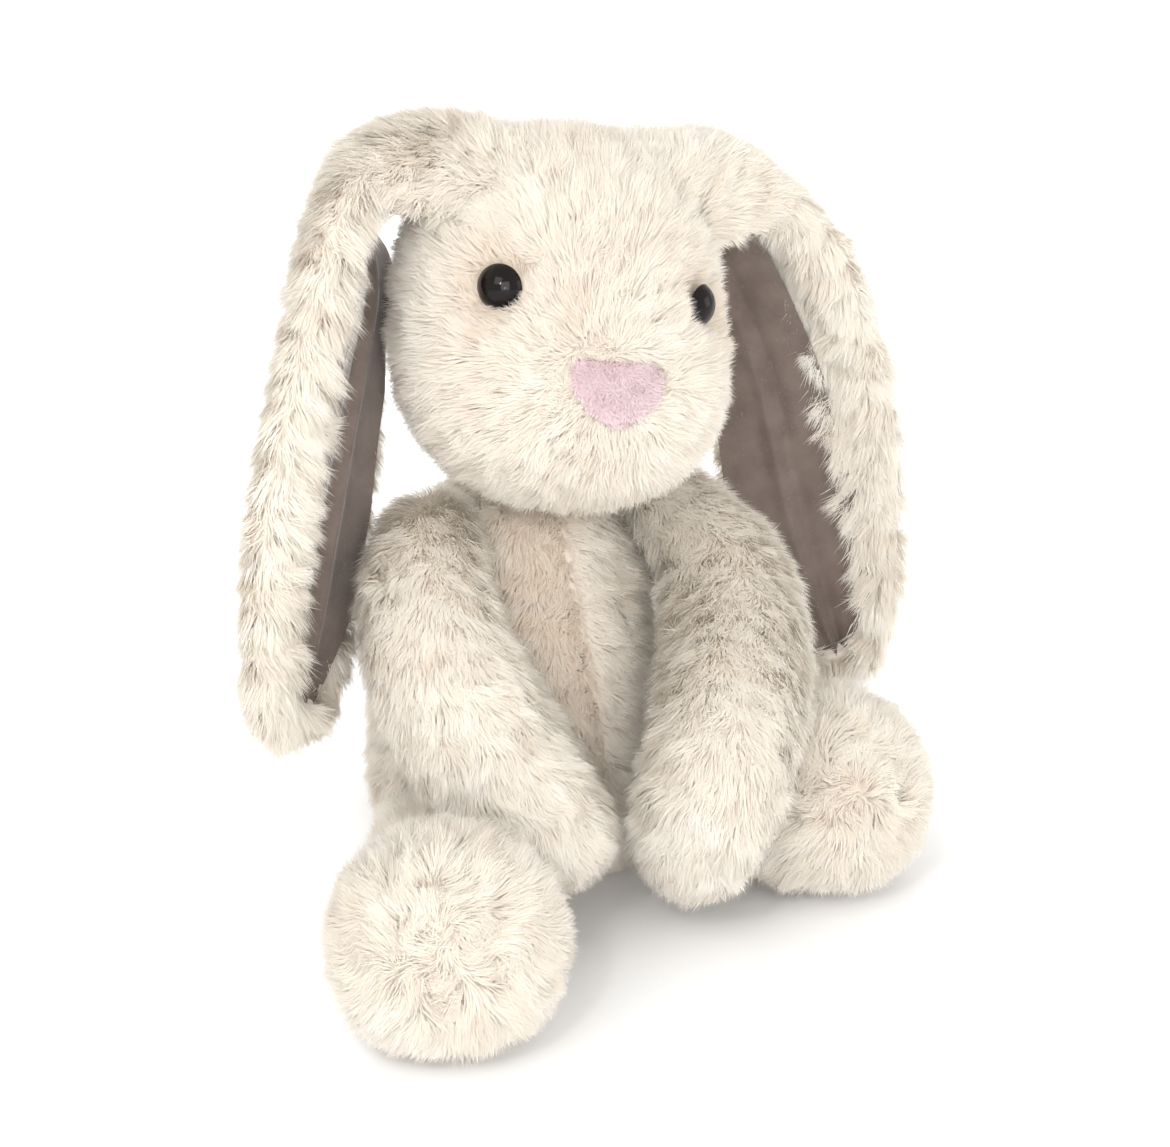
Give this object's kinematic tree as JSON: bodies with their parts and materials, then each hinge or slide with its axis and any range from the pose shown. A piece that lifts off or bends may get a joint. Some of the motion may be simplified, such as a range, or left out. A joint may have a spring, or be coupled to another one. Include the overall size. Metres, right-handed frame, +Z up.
{
  "type": "plush rabbit",
  "caption": "Sitting long-pile plush rabbit with lop ears lined in velour, glossy eyes and a fabric nose; head, ears, arms, legs and tail move at their seams",
  "frame": {"origin": "centre of the flat seat, on the surface that the rabbit sits on", "axes": "+Z up; -Y the way the chest faces; +X the rabbit's left"},
  "size_m": [0.2629, 0.217, 0.2437],
  "materials": {
    "long_pile": "matte",
    "velour": "matte",
    "nose_fabric": "matte",
    "eye_plastic": "gloss",
    "washer_plastic": "matte",
    "stuffing": "matte",
    "pouch_cloth": "matte"
  },
  "bodies": {
    "torso": {"torso_cover": "long_pile", "torso_filling": "stuffing", "seat_pellet_pouch": "pouch_cloth"},
    "tail": {"tail_cover": "long_pile", "tail_filling": "stuffing"},
    "head": {"head_cover": "long_pile", "head_filling": "stuffing", "nose_patch": "nose_fabric", "eye_left": "eye_plastic", "eye_right": "eye_plastic", "eye_washer_left": "washer_plastic", "eye_washer_right": "washer_plastic"},
    "ear_right": {"ear_outer_right": "long_pile", "ear_lining_right": "velour"},
    "arm_right": {"arm_cover_right": "long_pile", "arm_filling_right": "stuffing"},
    "leg_right": {"leg_cover_right": "long_pile", "leg_filling_right": "stuffing", "foot_cover_right": "long_pile", "foot_filling_right": "stuffing", "foot_pellet_pouch_right": "pouch_cloth"},
    "ear_left": {"ear_outer_left": "long_pile", "ear_lining_left": "velour"},
    "arm_left": {"arm_cover_left": "long_pile", "arm_filling_left": "stuffing"},
    "leg_left": {"leg_cover_left": "long_pile", "leg_filling_left": "stuffing", "foot_cover_left": "long_pile", "foot_filling_left": "stuffing", "foot_pellet_pouch_left": "pouch_cloth"}
  },
  "joints": [
    {"name": "head_turn", "type": "hinge", "parent": "torso", "child": "head", "pos_m": [0, -0.006, 0.103], "axis": [0, 0, 1], "range_deg": [-15, 4]},
    {"name": "tail_bend", "type": "hinge", "parent": "torso", "child": "tail", "pos_m": [0, 0.0435, 0.027], "axis": [1, 0, 0], "range_deg": [-8, 3]},
    {"name": "ear_lift_right", "type": "hinge", "parent": "head", "child": "ear_right", "pos_m": [-0.02583, -0.00802, 0.23323], "axis": [0.2041, 0.9781, -0.0397], "range_deg": [0, 60]},
    {"name": "arm_swing_right", "type": "hinge", "parent": "torso", "child": "arm_right", "pos_m": [-0.042, -0.021, 0.117], "axis": [-0.8191, 0.5736, 0], "range_deg": [0, 30]},
    {"name": "leg_splay_right", "type": "hinge", "parent": "torso", "child": "leg_right", "pos_m": [-0.048, -0.024, 0.017], "axis": [0, 0, -1], "range_deg": [0, 20]},
    {"name": "ear_lift_left", "type": "hinge", "parent": "head", "child": "ear_left", "pos_m": [0.04907, -0.02424, 0.21867], "axis": [-0.2041, -0.9781, 0.0397], "range_deg": [0, 60]},
    {"name": "arm_swing_left", "type": "hinge", "parent": "torso", "child": "arm_left", "pos_m": [0.0415, -0.025, 0.113], "axis": [-0.8191, -0.5736, 0], "range_deg": [0, 30]},
    {"name": "leg_splay_left", "type": "hinge", "parent": "torso", "child": "leg_left", "pos_m": [0.044, -0.026, 0.017], "axis": [0, 0, 1], "range_deg": [0, 20]}
  ]
}
